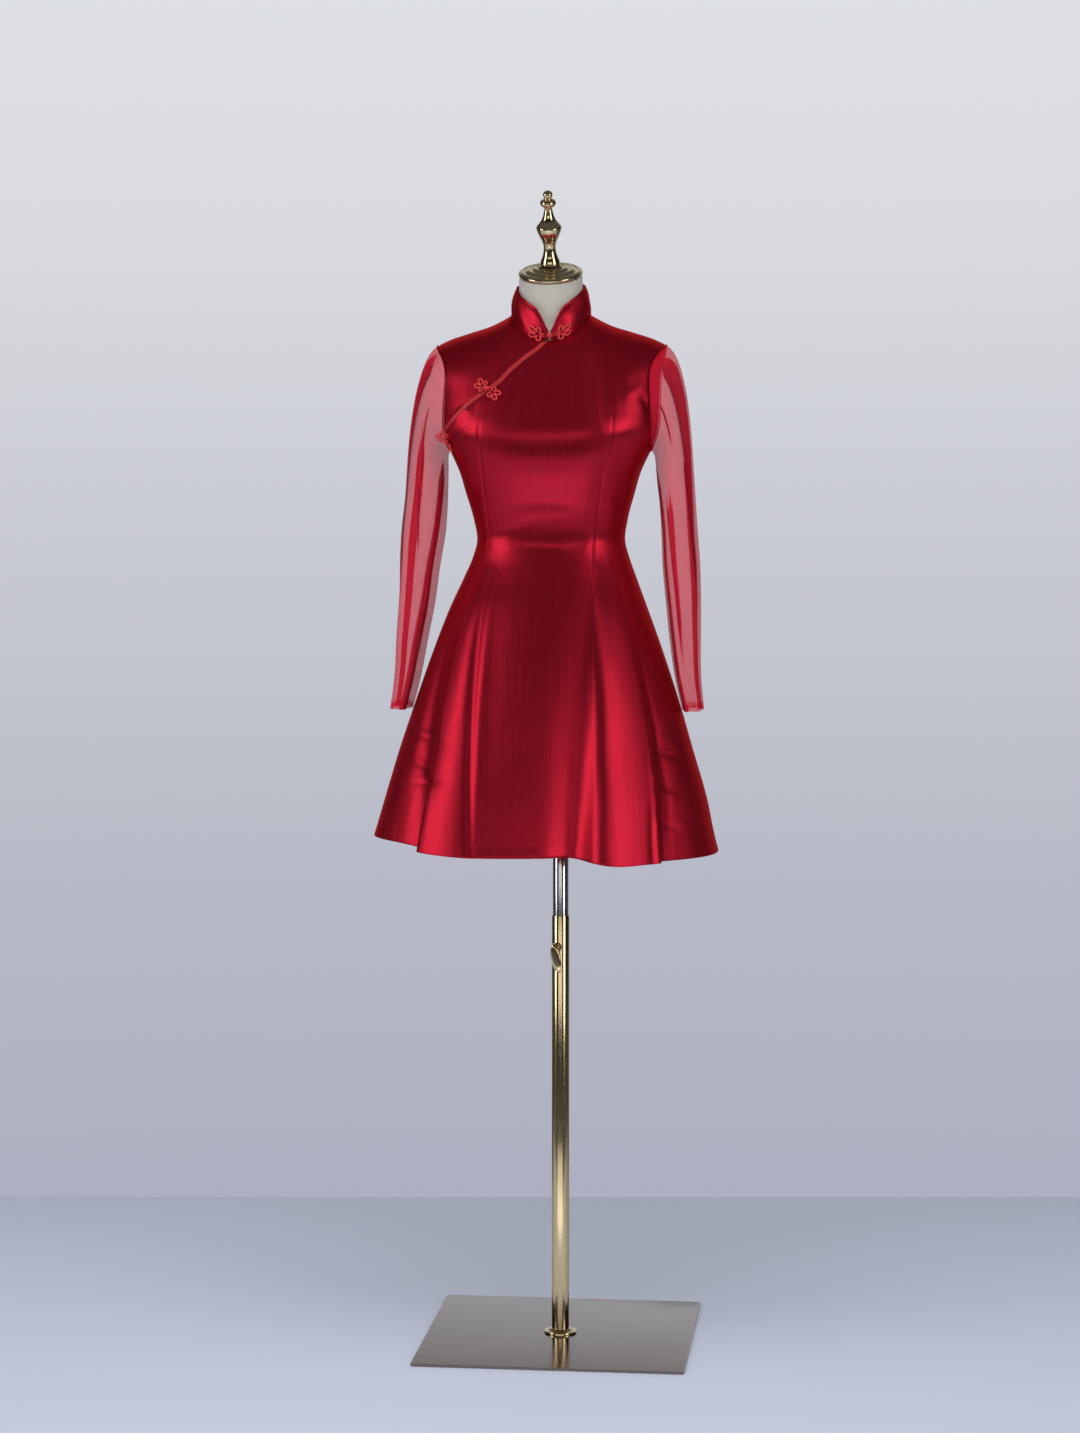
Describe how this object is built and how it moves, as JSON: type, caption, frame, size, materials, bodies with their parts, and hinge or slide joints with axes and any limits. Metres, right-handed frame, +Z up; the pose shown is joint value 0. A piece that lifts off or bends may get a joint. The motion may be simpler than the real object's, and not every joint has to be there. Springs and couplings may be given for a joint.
{
  "type": "cheongsam dress on a dress form stand",
  "caption": "Short flared cheongsam with stand collar, slanting opening, frog fastenings and sheer long sleeves, on a limbless dress form with a telescopic stand.",
  "frame": {"origin": "centre of the underside of the square base plate, under the pole", "axes": "+Z up along the pole, -Y out of the wearer's front, +X to the wearer's left, which is the viewer's right"},
  "size_m": [0.5387, 0.4465, 1.7901],
  "materials": {
    "red_satin": "satin",
    "red_net": "sheer net",
    "satin_cord": "satin cord",
    "form_jersey": "plain knit",
    "gold_plate": "polished",
    "polished_steel": "polished",
    "plate_steel": "tinted and polished"
  },
  "bodies": {
    "base": {"base_plate": "plate_steel", "pole_flange": "gold_plate", "lower_tube": "gold_plate", "clamp_boss": "gold_plate"},
    "clamp": {"clamp_screw": "gold_plate"},
    "mast": {"mast_tube": "polished_steel"},
    "form": {"torso_form": "form_jersey", "form_socket": "polished_steel", "neck_cap": "gold_plate", "finial": "gold_plate", "front_panel": "red_satin", "front_underlap": "red_satin", "back_panel": "red_satin", "collar": "red_satin", "sleeve_right": "red_net", "sleeve_left": "red_net", "opening_binding": "satin_cord", "collar_frog_left": "satin_cord", "collar_frog_right": "satin_cord", "collar_frog_knot": "satin_cord", "chest_frog_left": "satin_cord", "chest_frog_right": "satin_cord", "chest_frog_knot": "satin_cord", "underarm_frog_left": "satin_cord", "underarm_frog_right": "satin_cord", "underarm_frog_knot": "satin_cord"}
  },
  "joints": [
    {"name": "mast_height", "type": "slide", "parent": "base", "child": "mast", "axis": [0, 0, 1], "range_m": [-0.25, 0.2]},
    {"name": "form_turn", "type": "hinge", "parent": "mast", "child": "form", "pos_m": [0, 0, 0.95], "axis": [0, 0, 1], "continuous": true},
    {"name": "clamp_turn", "type": "hinge", "parent": "base", "child": "clamp", "pos_m": [0, 0, 0.6205], "axis": [-0.2419, -0.9703, 0], "range_deg": [0, 270]}
  ]
}
